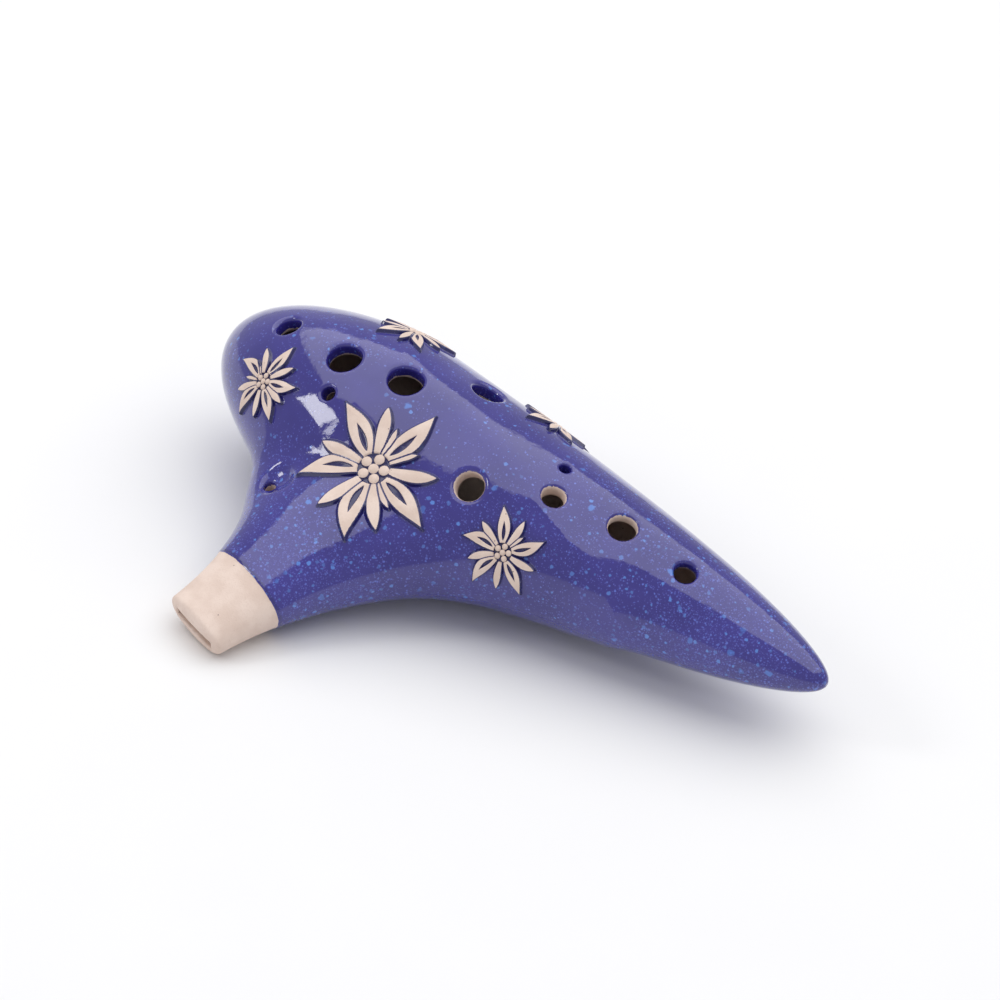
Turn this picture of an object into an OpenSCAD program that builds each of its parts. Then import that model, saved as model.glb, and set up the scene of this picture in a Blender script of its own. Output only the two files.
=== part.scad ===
// Transverse ocarina with twelve tone holes, a bare clay mouthpiece and five flower sprigs in relief.
// It is modelled lying flat: +X runs from the fat end to the tail, -Y towards the player, and the seam
// between the two half shells is the plane z = 0. place() then lays it down the way it rests on a table.

/* [Body] */
// overall length of the body, fat end to tail
body_length = 175; // [160:1:190]
// half the width at the widest station
body_half_width = 25.2; // [22:0.1:28]
// distance of the widest station from the fat end
widest_at = 48; // [40:1:56]
// depth of the body as a share of its width
depth_ratio = 0.886; // [0.8:0.01:1]
// roundness of the fat end: 2 is an ellipse, lower is more pointed
fat_end_power = 1.8; // [1.5:0.05:2.5]
// straight part of the taper towards the tail
taper_linear = 0.355; // [0.2:0.01:0.5]
// curved part of the taper towards the tail
taper_curved = 0.35; // [0.2:0.01:0.5]
// how blunt the tail tip is: higher is blunter
tail_power = 9; // [4:1:12]
// sideways sweep of the tail away from the player
tail_sweep = 2.4; // [0:0.1:5]
// sideways sweep of the fat end away from the player
fat_sweep = 12; // [0:0.5:14]
// thickness of the fired clay wall
wall = 4.6; // [3.5:0.1:5.5]

/* [Stem] */
// where the stem's line meets the body's line
stem_at = 69.5; // [62:0.5:76]
// angle between the stem and a square crossing
stem_slant = 14.2; // [5:0.1:20]
// length of the stem from the body's line to its tip
stem_length = 76.5; // [70:0.5:84]
// half width of the stem at its tip
tip_half_width = 9.4; // [8:0.1:11]
// half depth of the stem at its tip
tip_half_depth = 4.2; // [3.5:0.1:5]
// half width of the stem at the root, on the fat-end side
root_half_width_left = 19.5; // [16:0.5:26]
// half width of the stem at the root, on the tail side
root_half_width_right = 54; // [40:1:60]
// half depth of the stem at the root
root_half_depth = 19.4; // [17:0.1:22]
// length of the bare clay mouthpiece
mouthpiece_length = 17.2; // [14:0.2:20]
// softness of the join between stem and body
blend = 100; // [60:5:140]

/* [Corner web] */
// position of the web's middle along the body
web_x = 48; // [42:0.5:54]
// distance of the web's middle in front of the body's line
web_y = 25; // [20:0.5:30]
// radius of the web
web_radius = 16; // [12:0.5:20]
// half depth of the web
web_half_depth = 7.8; // [6:0.1:10]

/* [Holes] */
// radius of the cord hole through the corner web
cord_hole_r = 1.4; // [1.2:0.1:2]
// radius of the two small sub-holes
sub_hole_r = 1.7; // [1.3:0.1:2.2]
// radius of the two thumb holes underneath
thumb_hole_r = 4.1; // [3.5:0.1:4.8]

/* [Voicing] */
// downward slope of the windway, in degrees
windway_slope = 5.5; // [3:0.5:8]
// inner width of the windway
windway_width = 10; // [8:0.5:12]
// height of the windway where the breath leaves it
windway_exit_height = 1.4; // [1:0.1:2]
// height of the windway where it leaves the mouthpiece
windway_entry_height = 1.9; // [1.6:0.1:3]
// distance from the windway's end to the labium's edge
window_gap = 6; // [5:0.5:7]
// distance of the windway's end from the body's line
windway_end = 34; // [32:0.5:38]

/* [Flowers] */
// reach of the long bracts on the middle flower
large_flower_r = 19; // [16:0.5:22]
// reach of the long bracts on the four small flowers
small_flower_r = 10.4; // [9:0.2:12]
// height of the relief above the shell
relief = 1.1; // [0.8:0.1:1.5]

/* [Hidden] */
seat_gap = 0.05;
rest_roll = 14.6;
rest_pitch = 2.6;
origin_x = 87.4;
origin_y = -24.3;
origin_z = -24.95;
insert_half_height = 3;
insert_half_width = 6.5;
joint_d = stem_length - mouthpiece_length;
tail_run = body_length - widest_at;
chamber_half_width = body_half_width - wall;
chamber_tail_stop = wall + 2.6;
glaze_blue = [0.21, 0.19, 0.52];
bare_clay = [0.91, 0.82, 0.75];

// ---- the outer form: depth squared over every point of the plan ----
function clamp01(t) = min(1, max(0, t));
function tail_share(x) = clamp01((x - widest_at) / tail_run);
function fat_share(x) = clamp01((widest_at - x) / widest_at);
function half_width(x) = body_half_width
    * (1 - taper_linear * tail_share(x) - taper_curved * pow(tail_share(x), 2))
    * sqrt(max(0, 1 - pow(tail_share(x), tail_power)))
    * sqrt(max(0, 1 - pow(fat_share(x), fat_end_power)));
function line_y(x) = x > widest_at
    ? tail_sweep * pow((x - widest_at) / tail_run, 2)
    : fat_sweep * pow((x - widest_at) / tail_run, 2);
function body_term(x, y) =
    x <= 0 ? 400 * x - y * y
    : x >= body_length ? -400 * (x - body_length) - pow(y - tail_sweep, 2)
    : let (w = max(half_width(x), 0.001))
      pow(depth_ratio * w, 2) * (1 - pow((y - line_y(x)) / w, 2));
function stem_d(x, y) = -(x - stem_at) * sin(stem_slant) - y * cos(stem_slant);
function stem_v(x, y) = (x - stem_at) * cos(stem_slant) - y * sin(stem_slant);
function root_share(d) = clamp01((stem_length - d) / stem_length);
function stem_half_width(d, v) = v > 0
    ? tip_half_width + (root_half_width_right - tip_half_width) * pow(root_share(d), 2.87)
    : tip_half_width + (root_half_width_left - tip_half_width) * pow(root_share(d), 1.2);
function stem_half_depth(d) = tip_half_depth + (root_half_depth - tip_half_depth) * pow(root_share(d), 1.25);
function stem_term(x, y) =
    let (d = stem_d(x, y), v = stem_v(x, y))
    pow(stem_half_depth(d), 2) * (1 - pow(abs(v) / stem_half_width(d, v), 2.38)
        - pow(max(d - stem_length + 2.2, 0) / 2.2, 2.4) - pow(max(-d, 0) / 12, 2));
function web_term(x, y) = pow(web_half_depth, 2) * (1 - (pow(x - web_x, 2) + pow(y + web_y, 2)) / pow(web_radius, 2));
function soft_max(a, b) = let (m = max(a, b)) m + blend * ln(exp((a - m) / blend) + exp((b - m) / blend));
function form(x, y) = soft_max(soft_max(body_term(x, y), stem_term(x, y)), web_term(x, y));
function height(x, y) = sqrt(max(form(x, y), 0));

// ---- rays that sweep once around the plan, from a three-armed spine out to the edge ----
spine_fat = 18;
spine_mid = stem_at - 4;
spine_tail = body_length - 8;
stem_spine_d = stem_length - 8;
n_fat = 9;
n_tail = 24;
n_stem = 14;
function on_line(x) = [x, line_y(x)];
function arm_fat(i) = on_line(spine_fat + (spine_mid - spine_fat) * i / n_fat);
function arm_tail(i) = on_line(spine_mid + (spine_tail - spine_mid) * i / n_tail);
stem_spine_end = [stem_at - stem_spine_d * sin(stem_slant), -stem_spine_d * cos(stem_slant)];
function arm_stem(i) = on_line(spine_mid) + (stem_spine_end - on_line(spine_mid)) * i / n_stem;
// spine points in one list: the fat arm, then the tail arm, then the stem arm
spine = [for (i = [0:n_fat]) arm_fat(i), for (i = [1:n_tail]) arm_tail(i), for (i = [1:n_stem]) arm_stem(i)];
function id_fat(i) = i;
function id_tail(i) = n_fat + i;
function id_stem(i) = i == 0 ? n_fat : n_fat + n_tail + i;
// one ray leaves the meeting point of the arms into each inner corner, and the rays beside it turn away from it
corner_right = -52;
corner_left = -140;
// each ray is [spine number, direction in degrees]
rays = [
    for (i = [0:n_fat - 1]) [id_fat(i), 90],
    for (i = [0:n_tail - 1]) [id_tail(i), 90],
    for (i = [0:11]) [id_tail(n_tail), 90 - 180 * i / 12],
    for (i = [0:n_tail - 1]) [id_tail(n_tail - i), -90 + (90 + corner_right) * i / n_tail],
    for (i = [0:n_stem - 1]) [id_stem(i), corner_right - (stem_slant + corner_right) * i / n_stem],
    for (i = [0:7]) [id_stem(n_stem), -stem_slant - 180 * i / 8],
    for (i = [0:n_stem - 1]) [id_stem(n_stem - i),
        corner_left - (180 + stem_slant + corner_left) * pow(1 - i / n_stem, 1.2)],
    for (i = [0:n_fat - 1]) [id_fat(n_fat - i), corner_left - (96 + corner_left) * pow(i / n_fat, 1.2)],
    for (i = [0:15]) [id_fat(0), -96 - 174 * i / 16]
];
function along(q, a, r) = [q[0] + r * cos(a), q[1] + r * sin(a)];
function inside_at(q, a, r) = let (p = along(q, a, r)) form(p[0], p[1]) > 0;
function first_outside(q, a, r = 1) = inside_at(q, a, r) ? first_outside(q, a, r + 1) : r;
function halve(q, a, lo, hi, n) = n == 0 ? (lo + hi) / 2
    : inside_at(q, a, (lo + hi) / 2) ? halve(q, a, (lo + hi) / 2, hi, n - 1)
    : halve(q, a, lo, (lo + hi) / 2, n - 1);
function reach(q, a) = let (r = first_outside(q, a)) halve(q, a, r - 1, r, 16);
reaches = [for (r = rays) reach(spine[r[0]], r[1])];

// half of the outer form, from the seam plane up (side = 1) or down (side = -1)
levels = 9;
n_rays = len(rays);
n_spine = len(spine);
module outer_half(side) {
    top = [for (s = spine) [s[0], s[1], side * height(s[0], s[1])]];
    skin = [for (k = [0:n_rays - 1]) for (j = [1:levels])
        let (p = along(spine[rays[k][0]], rays[k][1], reaches[k] * sin(90 * j / levels)))
        [p[0], p[1], j == levels ? 0 : side * height(p[0], p[1])]];
    base = [for (s = spine) [s[0], s[1], 0]];
    at = function (k, j) j == 0 ? rays[k % n_rays][0] : n_spine + (k % n_rays) * levels + j - 1;
    low = function (k) n_spine + n_rays * levels + rays[k % n_rays][0];
    tris = [for (k = [0:n_rays - 1])
        let (same = rays[k][0] == rays[(k + 1) % n_rays][0])
        each concat(
            [[at(k, 0), at(k, 1), at(k + 1, 1)]],
            same ? [] : [[at(k, 0), at(k + 1, 1), at(k + 1, 0)]],
            [for (j = [1:levels - 1]) each [[at(k, j), at(k, j + 1), at(k + 1, j + 1)],
                                            [at(k, j), at(k + 1, j + 1), at(k + 1, j)]]],
            [[at(k, levels), low(k), at(k + 1, levels)]],
            same ? [] : [[low(k), low(k + 1), at(k + 1, levels)]])];
    polyhedron(points = concat(top, skin, base), faces = side > 0 ? tris : [for (t = tris) [t[0], t[2], t[1]]]);
}

// the hollow inside: the body's form drawn in by the wall, with no stem
rings = 26;
ring_points = 28;
function chamber_x(t) = wall + (body_length - wall - chamber_tail_stop) * (1 - cos(180 * t)) / 2;
function chamber_scale(x) = x < widest_at
    ? widest_at / (widest_at - wall)
    : tail_run / (tail_run - chamber_tail_stop);
function chamber_w(x) = half_width(widest_at + (x - widest_at) * chamber_scale(x)) * chamber_half_width / body_half_width;
module chamber() {
    body = [for (i = [1:rings - 1]) let (x = chamber_x(i / rings), w = chamber_w(x))
        for (k = [0:ring_points - 1]) let (a = 360 * (k + 0.5) / ring_points)
        [x, line_y(x) + w * cos(a), depth_ratio * w * sin(a)]];
    first = [chamber_x(0), line_y(chamber_x(0)), 0];
    last = [chamber_x(1), line_y(chamber_x(1)), 0];
    n = ring_points;
    end = (rings - 1) * n;
    faces = concat(
        [for (k = [0:n - 1]) [end, k, (k + 1) % n]],
        [for (i = [0:rings - 3]) for (k = [0:n - 1]) each [
            [i * n + k, (i + 1) * n + k, (i + 1) * n + (k + 1) % n],
            [i * n + k, (i + 1) * n + (k + 1) % n, i * n + (k + 1) % n]]],
        [for (k = [0:n - 1]) [end + 1, end - n + (k + 1) % n, end - n + k]]);
    polyhedron(points = concat(body, [first, last]), faces = faces);
}

// ---- placing things square to the surface ----
function normal_at(x, y) =
    let (e = 0.05, g = [height(x - e, y) - height(x + e, y), height(x, y - e) - height(x, y + e), 2 * e])
    g / norm(g);
// stands the local +Z along the surface normal at a point of the plan
module square_to(x, y, side = 1) {
    n = normal_at(x, y);
    translate([x, y, side * height(x, y)])
        rotate([0, acos(side * n[2]), atan2(n[1], n[0])])
            children();
}
// a straight bore from above the surface into the chamber
module tone_hole(x, y, r, side = 1) {
    square_to(x, y, side)
        translate([0, 0, -9])
            rotate([0, 0, 17])
                cylinder(r = r, h = 14, $fn = 48);
}
module finger_holes() {
    tone_hole(18.2, 0.9, 3.0);
    tone_hole(38.0, -1.9, 4.1);
    tone_hole(54.3, 1.1, 4.2);
    tone_hole(69.3, 13.4, 3.8);
    tone_hole(84.0, -12.8, 3.5);
    tone_hole(101.5, -3.4, 2.8);
    tone_hole(118.2, 0.8, 3.4);
    tone_hole(136.2, 0.7, 2.6);
    tone_hole(41.0, -11.7, sub_hole_r);
    tone_hole(98.1, 5.4, sub_hole_r - 0.3);
}
module thumb_holes() {
    tone_hole(34, 4, thumb_hole_r, -1);
    tone_hole(106, 2, thumb_hole_r - 0.6, -1);
}
cord_hole_x = 40.6;
cord_hole_y = -33.4;
module cord_hole() {
    translate([cord_hole_x, cord_hole_y, -20])
        cylinder(r = cord_hole_r, h = 40, $fn = 48);
}

// ---- the stem's own frame: local +X runs out along the stem, local +Y towards the tail side ----
module on_stem() {
    translate([stem_at, 0, 0])
        rotate([0, 0, -90 - stem_slant])
            children();
}
// the windway's frame starts at the tip, with local -X running inwards and down
module on_windway() {
    on_stem()
        translate([stem_length, 0, 0])
            rotate([0, -windway_slope, 0])
                children();
}
module beyond_joint() {
    on_stem()
        translate([joint_d, -30, -30])
            cube([60, 60, 60]);
}
windway_run = (stem_length - windway_end) / cos(windway_slope);
module insert_seat() {
    on_windway()
        translate([-windway_run, -insert_half_width, -insert_half_height])
            cube([windway_run - mouthpiece_length + 4, 2 * insert_half_width, 2 * insert_half_height]);
}
exit_z = -(stem_length - windway_end) * tan(windway_slope);
edge_d = windway_end - window_gap;
edge_z = exit_z - 0.1;
ramp = 1.25;
// the open window under the stem's root, with its ramp up to the labium's edge
module window() {
    on_stem()
        translate([0, windway_width / 2, 0])
            rotate([90, 0, 0])
                linear_extrude(windway_width)
                    polygon([[windway_end, exit_z + 1], [edge_d, exit_z + 1], [edge_d, edge_z],
                             [edge_d - 20, edge_z - 20 * ramp], [windway_end, edge_z - 20 * ramp]]);
}
// the way from the window into the chamber, above the labium
module throat() {
    on_stem()
        translate([4, -windway_width / 2, edge_z])
            cube([windway_end - 4, windway_width, 3.6]);
}
module labium_bar() {
    on_stem()
        translate([0, windway_width / 2, 0])
            rotate([90, 0, 0])
                linear_extrude(windway_width)
                    polygon([[edge_d, edge_z], [edge_d - 9, edge_z], [edge_d - 9, edge_z - 4.5],
                             [edge_d - 4.5 / ramp, edge_z - 4.5]]);
}

module upper_shell() {
    color(glaze_blue) difference() {
        outer_half(1);
        chamber();
        finger_holes();
        cord_hole();
        insert_seat();
        beyond_joint();
    }
}
module lower_shell() {
    color(glaze_blue) difference() {
        outer_half(-1);
        chamber();
        thumb_holes();
        cord_hole();
        insert_seat();
        window();
        throat();
        labium_bar();
        beyond_joint();
    }
}

// ---- mouthpiece ----
mouth_rings = [0, 4, 8, 12, mouthpiece_length - 2.2, mouthpiece_length - 1.4, mouthpiece_length - 0.8,
               mouthpiece_length - 0.35, mouthpiece_length - 0.1, mouthpiece_length];
mouth_points = 40;
function mouth_point(s, a) =
    let (d = joint_d + s, t = max(s - mouthpiece_length + 2.2, 0) / 2.2,
         q = 1 - 0.42 * (1 - sqrt(max(0, 1 - t * t))),
         v = sign(cos(a)) * pow(abs(cos(a)), 2 / 2.38))
    [d, v * q * stem_half_width(d, v), q * stem_half_depth(d) * sin(a)];
module mouthpiece_body() {
    n = mouth_points;
    m = len(mouth_rings);
    on_stem()
        polyhedron(
            points = concat([for (s = mouth_rings) for (k = [0:n - 1]) mouth_point(s, 360 * k / n)],
                            [[joint_d, 0, 0], [stem_length, 0, 0]]),
            faces = concat(
                [for (k = [0:n - 1]) [m * n, (k + 1) % n, k]],
                [for (i = [0:m - 2]) for (k = [0:n - 1]) each [
                    [i * n + k, i * n + (k + 1) % n, (i + 1) * n + (k + 1) % n],
                    [i * n + k, (i + 1) * n + (k + 1) % n, (i + 1) * n + k]]],
                [for (k = [0:n - 1]) [m * n + 1, (m - 1) * n + k, (m - 1) * n + (k + 1) % n]]));
}
// a straight-sided tapering slot: widths and heights at the far (-X) and near ends
module slot(x0, x1, w0, w1, h0, h1) {
    polyhedron(
        points = [for (e = [[x0, w0, h0], [x1, w1, h1]]) for (c = [[-1, -1], [1, -1], [1, 1], [-1, 1]])
            [e[0], c[0] * e[1] / 2, c[1] * e[2] / 2]],
        faces = [[0, 1, 2], [0, 2, 3], [4, 6, 5], [4, 7, 6], [0, 4, 5], [0, 5, 1], [1, 5, 6], [1, 6, 2],
                 [2, 6, 7], [2, 7, 3], [3, 7, 4], [3, 4, 0]]);
}
module mouthpiece() {
    color(bare_clay) difference() {
        mouthpiece_body();
        on_windway()
            slot(-mouthpiece_length - 3, 1, windway_width, 13.5, windway_entry_height, 2.1);
    }
}

// ---- windway: a flat roof over a floor with raised cheeks ----
module windway_roof() {
    color(bare_clay) difference() {
        on_windway()
            translate([0, insert_half_width, 0])
                rotate([90, 0, 0])
                    linear_extrude(2 * insert_half_width)
                        polygon([[-windway_run, windway_exit_height / 2],
                                 [-mouthpiece_length + 2, windway_entry_height / 2],
                                 [-mouthpiece_length + 2, insert_half_height],
                                 [-windway_run, insert_half_height]]);
        beyond_joint();
    }
}
module windway_floor() {
    cheek = insert_half_width - windway_width / 2;
    color(bare_clay) difference() {
        on_windway() {
            translate([0, insert_half_width, 0])
                rotate([90, 0, 0])
                    linear_extrude(2 * insert_half_width)
                        polygon([[-windway_run, -insert_half_height],
                                 [-mouthpiece_length + 2, -insert_half_height],
                                 [-mouthpiece_length + 2, -windway_entry_height / 2],
                                 [-windway_run, -windway_exit_height / 2]]);
            for (s = [-1, 1])
                translate([0, s * (insert_half_width - cheek / 2) + cheek / 2, 0])
                    rotate([90, 0, 0])
                        linear_extrude(cheek)
                            polygon([[-windway_run, -windway_exit_height / 2 - 0.5],
                                     [-mouthpiece_length + 2, -windway_entry_height / 2 - 0.5],
                                     [-mouthpiece_length + 2, windway_entry_height / 2],
                                     [-windway_run, windway_exit_height / 2]]);
        }
        beyond_joint();
    }
}
module labium() {
    color(bare_clay) labium_bar();
}

// ---- flowers: flat petals bent over the shell along the flower's own axis ----
// a flower's frame is [middle, normal, across, up]
function flower_frame(x, y) =
    let (n = normal_at(x, y), u0 = [1, 0, 0] - n[0] * n, u = u0 / norm(u0))
    [[x, y, height(x, y)], n, u, cross(n, u)];
function above(p) = form(p[0], p[1]) < p[2] * abs(p[2]);
function sink(p, n, lo, hi, k) = k == 0 ? (lo + hi) / 2
    : above(p - n * (lo + hi) / 2) ? sink(p, n, (lo + hi) / 2, hi, k - 1)
    : sink(p, n, lo, (lo + hi) / 2, k - 1);
// the point of the shell under (u, v) of a flower's frame, raised by lift
function on_shell(f, u, v, lift) =
    let (p = f[0] + u * f[2] + v * f[3], s = sink(p, f[1], -4, 16, 15), q = p - f[1] * s,
         m = normal_at(q[0], q[1]))
    q + lift * m;
petal_steps = 8;
// a petal is narrow at its root, widest a little past its middle and pointed at its tip
function petal_half(k) =
    let (c = cos(180 * k / petal_steps), s = sin(180 * k / petal_steps))
    sign(s) * pow(abs(s), c < 0 ? 1.45 : 1.15) * (1 - 0.3 * c);
// a loop around a petal at a given share of its half width
function loop(f, a, r0, r1, w, share, lift) =
    let (mid = (r0 + r1) / 2, half = (r1 - r0) / 2 * (share + (1 - share) * 0.3))
    [for (k = [0:2 * petal_steps - 1])
        let (r = mid - half * cos(180 * k / petal_steps), b = share * w * petal_half(k))
        on_shell(f, r * cos(a) - b * sin(a), r * sin(a) + b * cos(a), lift)];
module ring_solid(lower_out, upper_out, upper_in, lower_in) {
    n = len(lower_out);
    polyhedron(points = concat(lower_out, upper_out, upper_in, lower_in),
        faces = [for (j = [0:3]) for (k = [0:n - 1])
            each [[j * n + k, ((j + 1) % 4) * n + (k + 1) % n, j * n + (k + 1) % n],
                  [j * n + k, ((j + 1) % 4) * n + k, ((j + 1) % 4) * n + (k + 1) % n]]]);
}
module filled_solid(f, a, r, lower_out, upper_out) {
    n = len(lower_out);
    low = on_shell(f, r * cos(a), r * sin(a), seat_gap);
    high = on_shell(f, r * cos(a), r * sin(a), relief);
    polyhedron(points = concat(lower_out, upper_out, [low, high]),
        faces = concat(
            [for (k = [0:n - 1]) each [[k, n + (k + 1) % n, (k + 1) % n], [k, n + k, n + (k + 1) % n],
                                       [2 * n, k, (k + 1) % n], [2 * n + 1, n + (k + 1) % n, n + k]]]));
}
// a long bract has a lens-shaped slot down its middle
module long_bract(f, a, r0, r1, w) {
    ring_solid(loop(f, a, r0, r1, w, 1, seat_gap), loop(f, a, r0, r1, w, 0.86, relief),
               loop(f, a, r0 + (r1 - r0) * 0.12, r1 - (r1 - r0) * 0.28, w, 0.34, relief),
               loop(f, a, r0 + (r1 - r0) * 0.12, r1 - (r1 - r0) * 0.28, w, 0.34, seat_gap));
}
module short_bract(f, a, r0, r1, w) {
    filled_solid(f, a, (r0 + r1) / 2, loop(f, a, r0, r1, w, 1, seat_gap), loop(f, a, r0, r1, w, 0.86, relief));
}
// r is the flower's reach, and turns and lengths are the hand-set irregularities of its bracts
module long_bracts(f, r, turns) {
    color(bare_clay) for (a = turns)
        long_bract(f, a, r * 0.25, r, r * 0.13);
}
module short_bracts(f, r, turns, small) {
    color(bare_clay) {
        for (a = turns)
            short_bract(f, a, r * 0.25, r * 0.8, r * 0.074);
        for (a = small)
            short_bract(f, a, r * 0.25, r * 0.56, r * 0.031);
    }
}
module florets(f, r) {
    big = 0.062 * r;
    color(bare_clay) for (k = [0:5]) {
        p = k == 0 ? [0, 0] : [0.142 * r * cos(72 * k + 20), 0.142 * r * sin(72 * k + 20)];
        q = on_shell(f, p[0], p[1], seat_gap);
        m = normal_at(q[0], q[1]);
        translate(q)
            rotate([0, acos(m[2]), atan2(m[1], m[0])])
                rotate_extrude($fn = 24)
                    polygon([[0, 0], [big, 0], [big, 0.7 * relief], [0.72 * big, relief], [0, 1.1 * relief]]);
    }
}
middle_f = flower_frame(62.5, -21);
fat_end_f = flower_frame(23.8, -14.3);
tail_f = flower_frame(98.9, -19);
far_left_f = flower_frame(43.5, 18);
far_right_f = flower_frame(85, 19.5);
module middle_flower_long_bracts() { long_bracts(middle_f, large_flower_r, [147, 76, -18, -74, -147]); }
module middle_flower_short_bracts() { short_bracts(middle_f, large_flower_r, [113, 22, -52, -110, 180], [95, 48, -35]); }
module middle_flower_florets() { florets(middle_f, large_flower_r); }
module fat_end_flower_long_bracts() { long_bracts(fat_end_f, small_flower_r, [83, 16, -44, -113, 171]); }
module fat_end_flower_short_bracts() { short_bracts(fat_end_f, small_flower_r, [127, 47, -14, -78, -146], [65, -168, 147]); }
module fat_end_flower_florets() { florets(fat_end_f, small_flower_r); }
module tail_flower_long_bracts() { long_bracts(tail_f, small_flower_r, [117, 40, -44, -113, -175]); }
module tail_flower_short_bracts() { short_bracts(tail_f, small_flower_r, [80, -2, -79, -145, 152], [60]); }
module tail_flower_florets() { florets(tail_f, small_flower_r); }
module far_left_flower_long_bracts() { long_bracts(far_left_f, small_flower_r, [-122, -50, 22, 94, 166]); }
module far_left_flower_short_bracts() { short_bracts(far_left_f, small_flower_r, [-158, -86, -14, 58, 130], [-68, 40]); }
module far_left_flower_florets() { florets(far_left_f, small_flower_r); }
module far_right_flower_long_bracts() { long_bracts(far_right_f, small_flower_r, [-112, -40, 32, 104, 176]); }
module far_right_flower_short_bracts() { short_bracts(far_right_f, small_flower_r, [-148, -76, -4, 68, 140], [-58, 50]); }
module far_right_flower_florets() { florets(far_right_f, small_flower_r); }

// lays the ocarina down: on its belly and the underside of the mouthpiece
module place() {
    translate([-origin_x, -origin_y, -origin_z])
        rotate([0, rest_pitch, 0])
            rotate([rest_roll, 0, 0])
                children();
}

place() upper_shell();
place() lower_shell();
place() mouthpiece();
place() windway_roof();
place() windway_floor();
place() labium();
place() middle_flower_long_bracts();
place() middle_flower_short_bracts();
place() middle_flower_florets();
place() fat_end_flower_long_bracts();
place() fat_end_flower_short_bracts();
place() fat_end_flower_florets();
place() tail_flower_long_bracts();
place() tail_flower_short_bracts();
place() tail_flower_florets();
place() far_left_flower_long_bracts();
place() far_left_flower_short_bracts();
place() far_left_flower_florets();
place() far_right_flower_long_bracts();
place() far_right_flower_short_bracts();
place() far_right_flower_florets();
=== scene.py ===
import math

import bpy
import numpy as np
import openvdb
from mathutils import Matrix, Vector


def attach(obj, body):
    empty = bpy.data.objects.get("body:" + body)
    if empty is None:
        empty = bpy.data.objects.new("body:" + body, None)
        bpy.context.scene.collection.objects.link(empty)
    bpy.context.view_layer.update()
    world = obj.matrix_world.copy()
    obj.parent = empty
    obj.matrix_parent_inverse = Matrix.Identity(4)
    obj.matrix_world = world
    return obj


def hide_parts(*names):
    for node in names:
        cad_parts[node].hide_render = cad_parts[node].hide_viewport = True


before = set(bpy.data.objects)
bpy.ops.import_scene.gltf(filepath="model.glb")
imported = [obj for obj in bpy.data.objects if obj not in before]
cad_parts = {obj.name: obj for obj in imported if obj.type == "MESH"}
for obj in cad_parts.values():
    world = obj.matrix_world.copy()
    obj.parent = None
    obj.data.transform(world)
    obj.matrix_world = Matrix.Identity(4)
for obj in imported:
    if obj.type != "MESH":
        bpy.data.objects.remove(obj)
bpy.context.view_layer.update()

# ---------------------------------------------------------------- the outer form
# The same form as part.scad, in millimetres, lying flat: +X from the fat end to the tail,
# -Y towards the player, seam plane z = 0. Here it also goes smoothly negative past the body's ends.
LENGTH, HALF_WIDTH, WIDEST = 175.0, 25.2, 48.0
DEPTH_RATIO, FAT_POWER, TAPER_1, TAPER_2, TAIL_POWER = 0.886, 1.8, 0.355, 0.35, 9.0
TAIL_SWEEP, FAT_SWEEP, WALL = 2.4, 12.0, 4.6
STEM_AT, SLANT, STEM_LENGTH = 69.5, math.radians(14.2), 76.5
TIP_W, TIP_H, ROOT_LEFT, ROOT_RIGHT, ROOT_H = 9.4, 4.2, 19.5, 54.0, 19.4
# how fast the stem widens to its right and left and thickens, the powers of its section and its rounded
# tip, and the lengths over which it closes at the tip and fades inside the body
RIGHT_POWER, LEFT_POWER, DEPTH_POWER = 2.87, 1.2, 1.25
SECTION_POWER, TIP_POWER, TIP_ROUND, ROOT_FADE = 2.38, 2.4, 2.2, 12
MOUTH_LENGTH, BLEND = 17.2, 100.0
WEB_X, WEB_Y, WEB_R, WEB_H = 48.0, -25.0, 16.0, 7.8
JOINT_D = STEM_LENGTH - MOUTH_LENGTH
TAIL_RUN = LENGTH - WIDEST
CHAMBER_STOP = WALL + 2.6
S_SIN, S_COS = math.sin(SLANT), math.cos(SLANT)
WINDWAY_SLOPE = math.radians(5.5)
WINDWAY_END, WINDOW_GAP, WINDWAY_W = 34.0, 6.0, 10.0
RAMP = 1.25
GLAZE = 0.22
DIFF_STEP, FIELD_STEP = 0.05, 0.06

# how it lies on the table
ROLL, PITCH = math.radians(14.6), math.radians(2.6)
ORIGIN = np.array([87.4, -24.3, -24.95])
RX = np.array([[1, 0, 0], [0, math.cos(ROLL), -math.sin(ROLL)], [0, math.sin(ROLL), math.cos(ROLL)]])
RY = np.array([[math.cos(PITCH), 0, math.sin(PITCH)], [0, 1, 0], [-math.sin(PITCH), 0, math.cos(PITCH)]])
ROT = RY @ RX


def to_row(p):
    """Millimetres lying flat to metres in the row frame."""
    return (np.asarray(p, float) @ ROT.T - ORIGIN) / 1000.0


def width_squared(x):
    """The body's half width squared, going smoothly negative past its two ends."""
    u = np.maximum((x - WIDEST) / TAIL_RUN, 0)
    v = np.maximum((WIDEST - x) / WIDEST, 0)
    taper = 1 - TAPER_1 * u - TAPER_2 * u * u
    return (HALF_WIDTH * taper) ** 2 * (1 - u ** TAIL_POWER) * (1 - v ** FAT_POWER)


def half_width(x):
    return np.sqrt(np.maximum(width_squared(x), 0))


def line_y(x):
    u = (x - WIDEST) / TAIL_RUN
    return np.where(x > WIDEST, TAIL_SWEEP, FAT_SWEEP) * u * u


def soft_max(a, b):
    m = np.maximum(a, b)
    return m + BLEND * np.log(np.exp((a - m) / BLEND) + np.exp((b - m) / BLEND))


def stem_d(x, y):
    return -(x - STEM_AT) * S_SIN - y * S_COS


def stem_v(x, y):
    return (x - STEM_AT) * S_COS - y * S_SIN


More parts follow.
